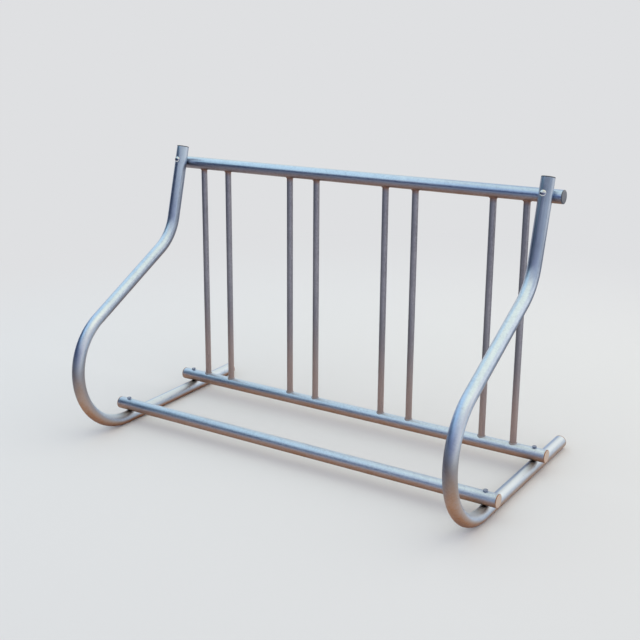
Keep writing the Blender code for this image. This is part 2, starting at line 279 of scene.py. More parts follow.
# Floor cloth: a grey cotton cloth that slopes up to the rear right. Like the flags, it only shows
# in the pipes, as the grey on their right. A paler patch of it faces the end cap of the top rail.
CLOTH_INNER_RADIUS = 1.3
CLOTH_RISE = 0.3
CLOTH_BEARING = (math.radians(20), math.radians(105))
CLOTH_NEAR = "#A8ACB6"
CLOTH_FAR = "#666B7C"
CLOTH_DARKENS = (1.4, 3.2)
PATCH = "#E6E8EA"
PATCH_PLACE = (2.0, 3.6, 0.05)
PATCH_EDGE = (1.2, 0.6)
PATCH_SHARE = 0.4

# Dyed cotton, washed out towards the rack: matt and plain, with no thread to be seen in metal.
cotton, tree = new_finish("grey_floor_cloth")
place = put(tree, "TexCoord").outputs["Object"]
distance = put(tree, "VectorMath", {0: place}, operation="LENGTH").outputs["Value"]
outwards = {"Value": distance, "From Min": CLOTH_DARKENS[0], "From Max": CLOTH_DARKENS[1]}
washed_out = {0: put(tree, "MapRange", outwards).outputs[0], 6: colour(CLOTH_NEAR), 7: colour(CLOTH_FAR)}
dyed = put(tree, "Mix", washed_out, data_type="RGBA").outputs[2]
beside = put(tree, "VectorMath", {0: place, 1: PATCH_PLACE}, operation="DISTANCE").outputs["Value"]
inside = {"Value": beside, "From Min": PATCH_EDGE[0], "From Max": PATCH_EDGE[1], "To Max": PATCH_SHARE}
patched = {0: put(tree, "MapRange", inside).outputs[0], 6: dyed, 7: colour(PATCH)}
weave = put(tree, "BsdfDiffuse", {"Color": put(tree, "Mix", patched, data_type="RGBA").outputs[2]})
put(tree, "OutputMaterial", {"Surface": weave.outputs[0]})

bpy.ops.mesh.primitive_cone_add(
    vertices=72, radius1=CLOTH_INNER_RADIUS, radius2=FLAG_RADIUS, depth=CLOTH_RISE, end_fill_type="NOTHING",
    location=(0, 0, CLOTH_RISE / 2)
)
skirt = bpy.context.object
skirt.name = "rear_right_cloth"
pick(skirt)
edit(lambda face: not CLOTH_BEARING[0] < math.atan2(face.center.y, face.center.x) < CLOTH_BEARING[1])
bpy.ops.mesh.delete(type="FACE")
done()
only_mirrored(skirt, cotton)

# Side frames: each is one length of galvanised steel pipe, 42.2 mm across, bent cold round two
# formers and sawn square. The straight stretch lies on the ground and the upright leans back.
PIPE_RADIUS = 0.0211
PIPE_WALL = 0.0026
PIPE_SIDES = 64
FRAME_X = 0.698
GROUND_END_Y = 0.4125
FRONT_BEND_RADIUS = 0.210
FRONT_BEND_Y = -0.1844
FRONT_BEND_STEPS = 60
RISE_ANGLE = math.radians(28.25)
RISE_LENGTH = 0.375
UPPER_BEND_RADIUS = 0.170
UPPER_BEND_STEPS = 20
UPRIGHT_LEAN = math.radians(16.8)
FRAME_TOP = 0.9375
TOP_BOLT = Vector((0, 0.1883, 0.8913))
BOLT_AXIS = Vector((0, math.cos(UPRIGHT_LEAN), -math.sin(UPRIGHT_LEAN)))
LOWER_RAILS_Y = {"front": -0.1644, "rear": 0.1916}
LOWER_RAIL_Z = 0.0636
BOLT_HOLE = 0.0045
ACCESS_HOLE = 0.010
WALL_DRILL = 0.02
THROUGH_DRILL = 0.08
SAWN_EDGE = 0.0005
SMOOTH_BELOW = math.radians(32)

SPANGLE_MM = 5.3
DRAIN_MARK_MM = 70
PIMPLE_MM = 2.4
SCUFF_MM = 22
CRYSTAL_SHARE = 0.35
CRYSTAL_RELIEF = 0.25
ZINC = ("#BAC9DE", "#C6D5E9", "#CEDCEE")
# Painted shade and painted reflection of brown ground on the pipes' lower sides: softness, browning,
# dulling.
SHADE_SOFTNESS = 0.52
SHADE_DULLS = 0.08
SPLASH_DULLS = 0.12
SIDE_BROWNS = 0.4
FULLY_BROWN = 0.8

# A band follows one field of the surface: x, y and height are its place, side and facing the X and
# Z of its normal, and the rest are patterns. Then come the values of the field where the band starts
# and where it is full, and its own value at the one and at the other.
NEAR_GROUND_BAND = ("height", 0.5, 0.02, 0, 1)
SHADE_BY_SIDE = ("side", -1, 1, -0.3, 0.3)
# Painted shade reaches higher on the left side of a pipe than on its right.
SHADE_BROKEN = ("speckle", 0.3, 0.7, 0.9, 1)
SHADE_DEEPENS = ("facing", -0.05, -0.75, 0, 1)
SHADE_PATCHY = ("drain marks", 0.3, 0.7, -0.06, 0.06)
BROWN_BENEATH = (("facing", -0.05, -0.75, 0, 0.85), ("x", -0.7, 0.2, 0.5, 1))
ON_FRONT_BEND = ("y", -0.22, -0.36, 0, 1)
ON_GROUND = (("y", -0.2, -0.1, 0, 1), ("height", 0.06, 0.045, 0, 1))
ON_UPPER_LOOP = (ON_FRONT_BEND, ("height", 0.25, 0.34, 0, 1))

# A layer is a colour, the way it mixes, how much it dulls the metal, and the bands that bound it. All
# pipes are scuffed. On the frames, light dust and a painted highlight lie on top near the ground, a
# painted blue reflection lies on the left flank of the ground tubes, and the front loop has painted blue
# shade on its left, a painted highlight on its right and painted shade at its knee. A painted shadow lies
# under the lower rails, and painted shade darkens the tops of the uprights.
SCUFFS = ("#8A8F98", "MIX", 0.364, (("rubs", 0.60, 0.66, 0, 0.22),))
# Light dust and a painted highlight on the tops of pipes near the ground.
DUST_AND_PAINTED_HIGHLIGHT_ON_TOP = ("#DFE9F2", "MIX", 0, (NEAR_GROUND_BAND, ("facing", 0.2, 0.8, 0, 1)))
# Painted blue reflection on the left flank of the ground tubes.
PAINTED_BLUE_REFLECTION_ON_FLANK = (
    "#A2B7DC", "MIX", 0, (*ON_GROUND, ("side", 0.1, -0.2, 0, 0.85), ("facing", 0.35, 0.8, 0, 1))
)
# Painted blue shade on the left side of the front loop.
PAINTED_BLUE_SHADE_LEFT_OF_LOOP = ("#DFEBFF", "MULTIPLY", 0, (*ON_UPPER_LOOP, ("side", 0.45, 0.1, 0, 1)))
# Painted highlight on the right side of the front loop.
PAINTED_HIGHLIGHT_RIGHT_OF_LOOP = (
    "#F4F6FA", "MIX", 0, (*ON_UPPER_LOOP, ("side", 0.45, 0.75, 0, 0.6), ("side", 1.0, 0.93, 0, 1))
)
# Painted shade on the left of the front bend's knee.
PAINTED_SHADE_ON_KNEE = (
    "#E8E0D8", "MULTIPLY", 0,
    (ON_FRONT_BEND, ("height", 0.14, 0.20, 0, 1), ("height", 0.34, 0.26, 0, 1), ("side", -0.6, 0, 0, 1),
     ("x", -0.7, 0.7, 0.7, 1))
)
# Painted shadow on the ground tubes where the lower rails cross them, on their shaded side.
PAINTED_SHADOW_UNDER_RAILS = ("#1B1D26", "MIX", 0, (("by a rail", 0.1, 0.6, 0, 1), ("side", 0.7, 0.2, 0, 0.92)))
# Painted shade on the tops of the uprights, more on the right frame.
PAINTED_SHADE_ON_UPRIGHT_TOPS = (
    "#8490A6", "MIX", 0,
    (("x", -1.8, 0.7, 0, 1), ("height", 0.63, 0.75, 0, 1), ("speckle", 0.3, 0.7, 0.66, 0.8),
     ("height", 0.86, 0.92, 1, 1.41), ("side", 0.5, 0.95, 1, 0.5))
)
# Painted reflection of brown ground on the ground tubes, more on the right frame.
PAINTED_REFLECTION_ON_GROUND_TUBE = (*ON_GROUND, ("x", -1.0, 0.7, 0, 0.42))
PAINTED_SHADOW_REACH = 0.011


def overlap(tree, fields, bands):
    """Where all the bands hold at once: their product."""
    mask = None
    for field, start, full, least, most in bands:
        limits = {"From Min": start, "From Max": full, "To Min": least, "To Max": most}
        band = put(tree, "MapRange", {"Value": fields[field], **limits}).outputs[0]
        mask = put(tree, "Math", {0: mask, 1: band}, operation="MULTIPLY").outputs[0] if mask else band
    return mask


def by_a_rail(tree, place, rails, reach):
    """One at the surface of a rail along X and nought a reach away, from (y, z) of each rail's axis."""
    nearest = None
    for y, z in rails:
        away = put(tree, "VectorMath", {0: place, 1: (0, y, z)}, operation="SUBTRACT")
        across = put(tree, "VectorMath", {0: away.outputs[0], 1: (0, 1, 1)}, operation="MULTIPLY")
        gap = put(tree, "VectorMath", {0: across.outputs[0]}, operation="LENGTH").outputs["Value"]
        if nearest:
            gap = put(tree, "Math", {0: gap, 1: nearest}, operation="MINIMUM").outputs[0]
        nearest = gap
    limits = {"From Min": PIPE_RADIUS, "From Max": PIPE_RADIUS + reach, "To Min": 1.0, "To Max": 0.0}
    return put(tree, "MapRange", {"Value": nearest, **limits}, interpolation_type="SMOOTHSTEP").outputs[0]


def bare_metal(tree, skin, rough, height, strength, distance):
    """Sets the shader as metal with this colour, roughness and relief."""
    bump = put(tree, "Bump", {"Height": height, "Strength": strength, "Distance": distance})
    shader = tree.nodes["Principled BSDF"]
    shader.inputs["Metallic"].default_value = 1.0
    tree.links.new(skin, shader.inputs["Base Color"])
    tree.links.new(rough, shader.inputs["Roughness"])
    tree.links.new(bump.outputs[0], shader.inputs["Normal"])


def zinc_coat(
    name, shades, shade_tones, edge, ground_lift, shine, browns, layers, within=(), ground_reflection=(), top_shade=(), rails=()
):
    """Dipped zinc in three shades, with painted shade on its lower sides and layers on top.

    The painted shade lies where the surface faces below the edge. Nearness to the ground raises that edge,
    within these bands and in a painted ground reflection, and there the shade turns brown as a painted
    reflection of brown ground. Higher up it may take a darker painted shade, and rails give the layers a
    field that tells how near a rail is.
    """
    made, tree = new_finish(name, blank=False)
    place = put(tree, "TexCoord").outputs["Object"]
    along = put(tree, "SeparateXYZ", {0: place})
    normal = put(tree, "SeparateXYZ", {0: put(tree, "NewGeometry").outputs["Normal"]})
    crystals = put(tree, "TexVoronoi", {"Vector": place, "Scale": 1000 / SPANGLE_MM}, feature="F1")
    crystal = put(tree, "SeparateColor", {0: crystals.outputs["Color"]}).outputs[0]
    drained = {"Vector": place, "Scale": 1000 / DRAIN_MARK_MM, "Detail": 5.0, "Roughness": 0.6}
    marks = put(tree, "TexNoise", drained).outputs["Fac"]
    beaded = {"Vector": place, "Scale": 1000 / PIMPLE_MM, "Detail": 4.0, "Roughness": 0.65}
    pimples = put(tree, "TexNoise", beaded).outputs["Fac"]
    rubbed = {"Vector": place, "Scale": 1000 / SCUFF_MM, "Detail": 7.0, "Roughness": 0.7, "Distortion": 1.6}
    speckle = put(tree, "Mix", {0: CRYSTAL_SHARE, 2: marks, 3: crystal}, data_type="FLOAT").outputs[0]
    fields = {
        "x": along.outputs["X"], "y": along.outputs["Y"], "height": along.outputs["Z"],
        "side": normal.outputs["X"], "facing": normal.outputs["Z"],
        "drain marks": marks, "pimples": pimples, "speckle": speckle,
        "rubs": put(tree, "TexNoise", rubbed).outputs["Fac"]
    }
    if rails:
        fields["by a rail"] = by_a_rail(tree, place, *rails)

    low = overlap(tree, fields, (NEAR_GROUND_BAND,))
    # Painted shade: left sides and parts near the ground take it higher up.
    side_shade = overlap(tree, fields, (SHADE_BY_SIDE, *within))
    lifted = overlap(tree, fields, (NEAR_GROUND_BAND, *within))
    if ground_reflection:
        reflected_ground = overlap(tree, fields, ground_reflection)
        lifted = put(tree, "Math", {0: lifted, 1: reflected_ground}, operation="ADD").outputs[0]
    facing_light = put(tree, "Math", {0: side_shade, 1: fields["facing"]}, operation="ADD").outputs[0]
    lean = put(tree, "Math", {0: lifted, 1: -ground_lift, 2: facing_light}, operation="MULTIPLY_ADD").outputs[0]
    # Painted shade and painted reflection of brown ground, where the surface faces below the edge.
    shaded = {"Value": lean, "From Min": edge, "From Max": edge - SHADE_SOFTNESS}
    under = put(tree, "MapRange", shaded, interpolation_type="SMOOTHSTEP").outputs[0]
    broken = overlap(tree, fields, (SHADE_BROKEN,))
    amount = put(tree, "Math", {0: under, 1: broken}, operation="MULTIPLY").outputs[0]

    # The painted shade deepens and browns as the surface faces further down and nearer the ground.
    deep = overlap(tree, fields, (SHADE_DEEPENS,))
    patchy = overlap(tree, fields, (SHADE_PATCHY,))
    blotchy = put(tree, "Math", {0: deep, 1: patchy}, operation="ADD").outputs[0]
    ground_browns = put(tree, "ValToRGB", {"Fac": blotchy}, stops=zip((0, 0.5, 1), shade_tones[1:])).outputs["Color"]
    sooner = put(tree, "Math", {0: side_shade, 1: SIDE_BROWNS, 2: low}, operation="MULTIPLY_ADD").outputs[0]
    earthy = {"Value": sooner, "From Min": browns, "From Max": FULLY_BROWN}
    near_ground = put(tree, "MapRange", earthy, interpolation_type="SMOOTHSTEP").outputs[0]
    beneath = overlap(tree, fields, BROWN_BENEATH)
    brown = put(tree, "Math", {0: near_ground, 1: beneath}, operation="MAXIMUM").outputs[0]
    upper_shade = colour(shade_tones[0])
    if top_shade:
        darker_top = {0: overlap(tree, fields, top_shade[1]), 6: upper_shade, 7: colour(top_shade[0])}
        upper_shade = put(tree, "Mix", darker_top, data_type="RGBA").outputs[2]
    shade_colour = put(tree, "Mix", {0: brown, 6: upper_shade, 7: ground_browns}, data_type="RGBA").outputs[2]

    zinc = put(tree, "ValToRGB", {"Fac": speckle}, stops=zip((0.25, 0.5, 0.75), shades)).outputs["Color"]
    skin = put(tree, "Mix", {0: amount, 6: zinc, 7: shade_colour}, data_type="RGBA").outputs[2]
    rough = overlap(tree, fields, (("speckle", 0.2, 0.8, *shine),))
    for where, dulls in ((low, SPLASH_DULLS), (amount, SHADE_DULLS)):
        rough = put(tree, "Math", {0: where, 1: dulls, 2: rough}, operation="MULTIPLY_ADD").outputs[0]
    for shade, blend, dulls, bands in (*layers, SCUFFS):
        where = overlap(tree, fields, bands)
        coats = {0: where, 6: skin, 7: colour(shade)}
        skin = put(tree, "Mix", coats, data_type="RGBA", blend_type=blend).outputs[2]
        if dulls:
            rough = put(tree, "Math", {0: where, 1: dulls, 2: rough}, operation="MULTIPLY_ADD").outputs[0]
    relief = put(tree, "Math", {0: crystal, 1: CRYSTAL_RELIEF, 2: pimples}, operation="MULTIPLY_ADD")
    bare_metal(tree, skin, rough, relief.outputs[0], strength=0.035, distance=0.0002)
    return made


def apply_modifier(obj, kind, **settings):
    """Adds a modifier, sets it and applies it to the mesh."""
    pick(obj)
    modifier = obj.modifiers.new(kind.lower(), kind)
    for name, value in settings.items():
        setattr(modifier, name, value)
    bpy.ops.object.modifier_apply(modifier=modifier.name)


def break_edges(obj, width, over, segments):
    """Bevels each edge that turns by more than so many degrees."""
    limit = math.radians(over)
    apply_modifier(obj, "BEVEL", limit_method="ANGLE", angle_limit=limit, width=width, segments=segments)


def turned(axis):
    """The rotation that stands local Z along the axis."""
    return Vector(axis).to_track_quat("Z", "Y").to_euler()


def drill(obj, place, axis, radius, depth):
    """Cuts a round hole with a cylinder, as a drill does."""
    bpy.ops.mesh.primitive_cylinder_add(
        vertices=40, radius=radius, depth=depth, location=place, rotation=turned(axis)
    )
    bit = bpy.context.object
    apply_modifier(obj, "BOOLEAN", operation="DIFFERENCE", object=bit, solver="EXACT")
    bpy.data.objects.remove(bit)


def pipe_wall(obj, thickness):
    """Gives an open skin its wall, inwards, once its doubles are merged and its faces point out."""
    pick(obj)
    edit()
    bpy.ops.mesh.remove_doubles(threshold=0.000001)
    bpy.ops.mesh.normals_make_consistent(inside=False)
    done()
    apply_modifier(obj, "SOLIDIFY", thickness=thickness, offset=-1.0, use_even_offset=True)


def copy_of(obj, place, rotation=(0, 0, 0)):
    """A copy with its own mesh, put in its place."""
    pick(obj)
    bpy.ops.object.duplicate(linked=False)
    made = bpy.context.object
    made.location = place
    made.rotation_euler = rotation
    return made


def piece(obj, name, material, slot, *nodes):
    """Names a finished piece, gives it its finish and lets it stand for its CAD nodes."""
    settle(obj)
    bpy.ops.object.shade_smooth_by_angle(angle=SMOOTH_BELOW)
    obj.name = name
    obj.data.name = name
    obj.data.materials.clear()
    obj.data.materials.append(material)
    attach(obj, "root")
    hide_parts(*nodes)


# Hot-dip galvanised steel, dipped after bending and left outdoors: the zinc froze in faint crystals,
# drain marks and pimples and has dulled to a soft blue-grey sheen. Painted shade and a painted brown
# ground reflection lie on its undersides and low down. The crystals and marks have their real size, and
# the pimples are drawn coarser than the real 1 mm.
frame_zinc = zinc_coat(
    "hot_dip_zinc_on_bent_pipe", ZINC, ("#706E7A", "#BFACA2", "#B48665", "#9A6541"),
    edge=0.22, ground_lift=0.67, shine=(0.28, 0.36), browns=0.44, within=(ON_FRONT_BEND,),
    ground_reflection=PAINTED_REFLECTION_ON_GROUND_TUBE, rails=([(y, LOWER_RAIL_Z) for y in LOWER_RAILS_Y.values()], PAINTED_SHADOW_REACH),
    layers=(
        DUST_AND_PAINTED_HIGHLIGHT_ON_TOP, PAINTED_BLUE_REFLECTION_ON_FLANK, PAINTED_BLUE_SHADE_LEFT_OF_LOOP, PAINTED_HIGHLIGHT_RIGHT_OF_LOOP, PAINTED_SHADE_ON_KNEE,
        PAINTED_SHADOW_UNDER_RAILS, PAINTED_SHADE_ON_UPRIGHT_TOPS
    )
)

rise = Vector((0, math.cos(RISE_ANGLE), math.sin(RISE_ANGLE)))
upright = Vector((0, math.sin(UPRIGHT_LEAN), math.cos(UPRIGHT_LEAN)))
front_centre = Vector((-FRAME_X, FRONT_BEND_Y, PIPE_RADIUS + FRONT_BEND_RADIUS))
front_end = front_centre + Vector((0, -rise.z, rise.y)) * FRONT_BEND_RADIUS
rise_end = front_end + rise * RISE_LENGTH
upper_centre = rise_end + Vector((0, -rise.z, rise.y)) * UPPER_BEND_RADIUS
upper_end = upper_centre + Vector((0, upright.z, -upright.y)) * UPPER_BEND_RADIUS
upper_turn = math.pi / 2 - RISE_ANGLE - UPRIGHT_LEAN
last_stretch = upright * ((FRAME_TOP - upper_end.z) / upright.z)

bpy.ops.object.select_all(action="DESELECT")
bpy.ops.mesh.primitive_circle_add(
    vertices=PIPE_SIDES, radius=PIPE_RADIUS, location=(-FRAME_X, GROUND_END_Y, PIPE_RADIUS),
    rotation=(math.pi / 2, 0, 0)
)
bent_pipe = bpy.context.object
settle(bent_pipe)
edit(kind="EDGE")
bpy.ops.mesh.extrude_region_move(TRANSFORM_OT_translate={"value": (0, FRONT_BEND_Y - GROUND_END_Y, 0)})
bpy.ops.mesh.spin(steps=FRONT_BEND_STEPS, angle=math.pi - RISE_ANGLE, center=front_centre, axis=(1, 0, 0))
bpy.ops.mesh.extrude_region_move(TRANSFORM_OT_translate={"value": rise * RISE_LENGTH})
bpy.ops.mesh.spin(steps=UPPER_BEND_STEPS, angle=-upper_turn, center=upper_centre, axis=(1, 0, 0))
bpy.ops.mesh.extrude_region_move(TRANSFORM_OT_translate={"value": last_stretch})
done()
pipe_wall(bent_pipe, PIPE_WALL)
break_edges(bent_pipe, SAWN_EDGE, over=60, segments=3)
drill(bent_pipe, TOP_BOLT - Vector((FRAME_X, 0, 0)), BOLT_AXIS, BOLT_HOLE, THROUGH_DRILL)
for rail_y in LOWER_RAILS_Y.values():
    drill(bent_pipe, (-FRAME_X, rail_y, 2 * PIPE_RADIUS), (0, 0, 1), BOLT_HOLE, WALL_DRILL)
    drill(bent_pipe, (-FRAME_X, rail_y, 0), (0, 0, 1), ACCESS_HOLE, WALL_DRILL)
right_frame = copy_of(bent_pipe, (2 * FRAME_X, 0, 0))
piece(bent_pipe, "left_side_frame_pipe", frame_zinc, "galvanised_pipe", "side_frame_left")
piece(right_frame, "right_side_frame_pipe", frame_zinc, "galvanised_pipe", "side_frame_right")

# Rails: three straight lengths of the same pipe. The lower two lie across the ground tubes, and
# the top one bears on the backs of the uprights. Each is drilled through both walls for its bolts.
RAIL_LENGTH = 1.474
TOP_RAIL = Vector((0, 0.2290, 0.8790))
# Painted blue shade on the upper side of the rails' right ends.
PAINTED_BLUE_SHADE_ON_RIGHT_ENDS = (
    "#DAE6F6", "MULTIPLY", 0,
    (("x", 0.2, 0.52, 0, 1), ("height", 0.3, 0.6, 0, 1), ("facing", -0.3, 0.1, 0, 1))
)

# The same dipped zinc on straight pipe: brighter on top, with a thinner painted shade and painted
# brown ground reflection underneath.
rail_zinc = zinc_coat(
    "hot_dip_zinc_on_straight_pipe", ZINC, ("#70707F", "#AD8C7E", "#AC8164", "#8C6344"),
    edge=0.31, ground_lift=0.18, shine=(0.27, 0.35), browns=0.16, layers=(PAINTED_BLUE_SHADE_ON_RIGHT_ENDS,)
)

rails = (
    ("top_rail", TOP_RAIL, BOLT_AXIS),
    ("front_lower_rail", Vector((0, LOWER_RAILS_Y["front"], LOWER_RAIL_Z)), Vector((0, 0, 1))),
    ("rear_lower_rail", Vector((0, LOWER_RAILS_Y["rear"], LOWER_RAIL_Z)), Vector((0, 0, 1))),
)
for name, middle, bolt_way in rails:
    bpy.ops.mesh.primitive_cylinder_add(
        vertices=PIPE_SIDES, radius=PIPE_RADIUS, depth=RAIL_LENGTH, end_fill_type="NOTHING",
        location=middle, rotation=(0, math.pi / 2, 0)
    )
    rail = bpy.context.object
    pipe_wall(rail, PIPE_WALL)
    break_edges(rail, SAWN_EDGE, over=60, segments=3)
    for x in (-FRAME_X, FRAME_X):
        drill(rail, middle + Vector((x, 0, 0)), bolt_way, BOLT_HOLE, THROUGH_DRILL)
    piece(rail, name + "_pipe", rail_zinc, "galvanised_pipe", name)

# End plugs: a low-domed steel cap pressed into each pipe end, on a sleeve that grips the bore. The
# cap stands 0.3 mm off the pipe, as all pieces that touch do here.
TOUCH_GAP = 0.0003
CAP_THICKNESS = 0.003
CAP_FLANGE = 0.0012
FLANGE_DROP = 0.0006
DOME_START = 0.0005
DOME_STEPS = 4
DOME_STEP_WIDTH = 0.0040
DOME_STEP_RISE = 0.00004
SLEEVE_RADIUS = 0.0182
SLEEVE_WALL = 0.0022
SLEEVE_LENGTH = 0.014
PRESSED_EDGE = 0.0004
RIM_INSIDE = 0.0172
CAP_BLOTCH_MM = 10.5
CAP_GRAIN_MM = 1.1
CAP_STEEL = ((0.3, "#868A92"), (0.7, "#9A9EA6"))
CAP_GROUND_REFLECTION = "#E6CDBB"
CAP_NEAR_GROUND = ("height", 0.4, 0.1, 0, 1)
RUST_HIGH = "#5A5C66"
RUST_LOW = "#A56F47"
RUST_RAGGED = 0.9
RUST_DULLS = 0.15

# Pressed steel under a thin zinc wash: satin and grey, blotched with handling, peach in blotches near the
# ground as a painted reflection of brown ground, and rusting where the rim was sheared. The grain is drawn
# coarser than the real 0.2 mm.
cap_steel, tree = new_finish("pressed_steel_cap", blank=False)
place = put(tree, "TexCoord").outputs["Object"]
blotched = {"Vector": place, "Scale": 1000 / CAP_BLOTCH_MM, "Detail": 6.0, "Roughness": 0.6}
blotches = put(tree, "TexNoise", blotched).outputs["Fac"]
grain = put(tree, "TexNoise", {"Vector": place, "Scale": 1000 / CAP_GRAIN_MM, "Detail": 3.0}).outputs["Fac"]
steel = put(tree, "ValToRGB", {"Fac": blotches}, stops=CAP_STEEL).outputs["Color"]
fields = {"height": put(tree, "SeparateXYZ", {0: place}).outputs["Z"], "blotches": blotches}
low = overlap(tree, fields, (CAP_NEAR_GROUND,))
# Painted reflection of brown ground on the caps near the ground.
ground_reflected = overlap(tree, fields, (CAP_NEAR_GROUND, ("blotches", 0.3, 0.7, 0.8, 1)))
skin = put(tree, "Mix", {0: ground_reflected, 6: steel, 7: colour(CAP_GROUND_REFLECTION)}, data_type="RGBA").outputs[2]
rim = put(tree, "Attribute", attribute_name="rim").outputs["Fac"]
fields["rim"] = put(tree, "Math", {0: blotches, 1: RUST_RAGGED, 2: rim}, operation="MULTIPLY_ADD").outputs[0]
seam = overlap(tree, fields, (("rim", 0.85, 1.35, 0, 0.75),))
rust = put(tree, "Mix", {0: low, 6: colour(RUST_HIGH), 7: colour(RUST_LOW)}, data_type="RGBA").outputs[2]
skin = put(tree, "Mix", {0: seam, 6: skin, 7: rust}, data_type="RGBA").outputs[2]
satin = overlap(tree, fields, (("blotches", 0.3, 0.7, 0.34, 0.5),))
rough = put(tree, "Math", {0: seam, 1: RUST_DULLS, 2: satin}, operation="MULTIPLY_ADD").outputs[0]
bare_metal(tree, skin, rough, grain, strength=0.15, distance=0.0002)

bpy.ops.object.select_all(action="DESELECT")
bpy.ops.mesh.primitive_cylinder_add(
    vertices=PIPE_SIDES, radius=PIPE_RADIUS, depth=CAP_THICKNESS - TOUCH_GAP,
    location=(0, 0, (CAP_THICKNESS + TOUCH_GAP) / 2)
)
plug = bpy.context.object
settle(plug)
edit(lambda face: face.normal.z < -0.9)
bpy.ops.mesh.inset(thickness=PIPE_RADIUS - SLEEVE_RADIUS)
bpy.ops.mesh.extrude_region_move(TRANSFORM_OT_translate={"value": (0, 0, -SLEEVE_LENGTH)})
bpy.ops.mesh.inset(thickness=SLEEVE_WALL)
bpy.ops.mesh.extrude_region_move(TRANSFORM_OT_translate={"value": (0, 0, SLEEVE_LENGTH)})
edit(lambda face: face.normal.z > 0.9 and face.center.z > CAP_THICKNESS - 0.0001)
bpy.ops.transform.translate(value=(0, 0, -FLANGE_DROP))
bpy.ops.mesh.inset(thickness=CAP_FLANGE)
bpy.ops.transform.translate(value=(0, 0, DOME_START))
for step in range(DOME_STEPS):
    bpy.ops.mesh.inset(thickness=DOME_STEP_WIDTH)
    bpy.ops.transform.translate(value=(0, 0, DOME_STEP_RISE * (DOME_STEPS - step) / DOME_STEPS))
done()
break_edges(plug, PRESSED_EDGE, over=24, segments=3)
rim_share = plug.data.attributes.new("rim", "FLOAT", "POINT")
for point, share in zip(plug.data.vertices, rim_share.data):
    out = math.hypot(point.co.x, point.co.y)
    share.value = min(max((out - RIM_INSIDE) / (PIPE_RADIUS - RIM_INSIDE), 0), 1)

frame_end = upper_end + last_stretch
plug_places = [
    (rail_name + "_plug_" + side, middle + Vector((way * RAIL_LENGTH / 2, 0, 0)), Vector((way, 0, 0)))
    for rail_name, middle, bolt_way in rails
    for side, way in (("left", -1), ("right", 1))
]
for side, x in (("left", -FRAME_X), ("right", FRAME_X)):
    rear_end = Vector((x, GROUND_END_Y, PIPE_RADIUS))
    plug_places.append(("side_frame_rear_plug_" + side, rear_end, Vector((0, 1, 0))))
    plug_places.append(("side_frame_top_plug_" + side, Vector((x, frame_end.y, frame_end.z)), upright))
for name, end, way in plug_places:
    piece(copy_of(plug, end, turned(way)), name + "_cap", cap_steel, "pressed_cap", name)
bpy.data.objects.remove(plug)

# Pickets: eight lengths of smaller pipe, 21.3 mm across, notched to fit the rails and welded all
# round to the top rail and the rear lower rail, so that each pair holds a front wheel.
PICKET_RADIUS = 0.01065
PICKET_WALL = 0.0023
NOTCH_CUTTER = 0.06
PICKETS_X = (-0.625, -0.515, -0.245, -0.135, 0.135, 0.245, 0.515, 0.625)
BEAD_RADIUS = 0.0022
BEAD_GAP = 0.0006
BEAD_RIPPLES = 26
BEAD_RIPPLE = 0.045
BEAD_WANDER = 0.06
BEAD_BOW = 1.8
BEAD_SADDLE = 0.0142
WELD_SCALE = ("#98705A", "MIX", 0.15, (("by a rail", 0, 1, 0, 1), ("pimples", 0.35, 0.6, 0.55, 1)))
SCALE_REACH = 0.019
# Painted shade on the pickets' upper part, towards the top rail.
PAINTED_SHADE_AT_PICKET_TOPS = ("#6A7284", (("height", 0.55, 0.85, 0, 0.6),))

# Thinner dipped zinc over mill scale: greyer and duller than on the rails, with its painted shade
# darker and bluer towards the top rail, and brown scale where the upper weld burnt the zinc off.
picket_zinc = zinc_coat(
    "darker_zinc_on_picket_pipe", ("#9A989F", "#A6A4AC", "#B3B1B9"),
    ("#787780", "#BAA39B", "#B09A92", "#9C8780"), edge=0.34, ground_lift=0.45, shine=(0.36, 0.46),
    browns=0.16, top_shade=PAINTED_SHADE_AT_PICKET_TOPS, rails=([(TOP_RAIL.y, TOP_RAIL.z)], SCALE_REACH), layers=(WELD_SCALE,)
)

picket_foot = Vector((0, LOWER_RAILS_Y["rear"], LOWER_RAIL_Z))
picket_line = TOP_RAIL - picket_foot
picket_length = picket_line.length
bead_ring = PICKET_RADIUS + BEAD_GAP

bpy.ops.object.select_all(action="DESELECT")
bpy.ops.mesh.primitive_cylinder_add(
    vertices=40, radius=PICKET_RADIUS, depth=picket_length, end_fill_type="NOTHING"
)
picket = bpy.context.object
pipe_wall(picket, PICKET_WALL)
for end in (-1, 1):
    drill(picket, (0, 0, end * picket_length / 2), (1, 0, 0), PIPE_RADIUS, NOTCH_CUTTER)
beads = []
for end in (-1, 1):
    bpy.ops.mesh.primitive_torus_add(
        major_radius=bead_ring, minor_radius=BEAD_RADIUS, major_segments=208, minor_segments=16
    )
    bead = bpy.context.object
    for point in bead.data.vertices:
        around = math.atan2(point.co.y, point.co.x)
        section = math.atan2(point.co.z, math.hypot(point.co.x, point.co.y) - bead_ring)
        bow = BEAD_BOW * math.cos(section + end * math.pi / 4)
        ripple = BEAD_RIPPLE * math.cos(BEAD_RIPPLES * around + bow)
        bulge = BEAD_RADIUS * (1 + ripple + BEAD_WANDER * math.sin(3 * around + end))
        radius = bead_ring + bulge * math.cos(section)
        saddle = math.sqrt(PIPE_RADIUS**2 - (min(radius, BEAD_SADDLE) * math.sin(around)) ** 2)
        point.co.x = radius * math.cos(around)
        point.co.y = radius * math.sin(around)
        point.co.z = end * (picket_length / 2 - saddle - BEAD_GAP) + bulge * math.sin(section)
    bead.data.update()
    beads.append(bead)
pick(*beads, picket)
bpy.ops.object.join()
picket.location = (picket_foot + TOP_RAIL) / 2
picket.rotation_euler = turned(picket_line)
settle(picket)
for number, x in enumerate(PICKETS_X, 1):
    name = "picket_%d" % number
    piece(copy_of(picket, (x, 0, 0)), name + "_pipe", picket_zinc, "galvanised_pipe", name)
bpy.data.objects.remove(picket)

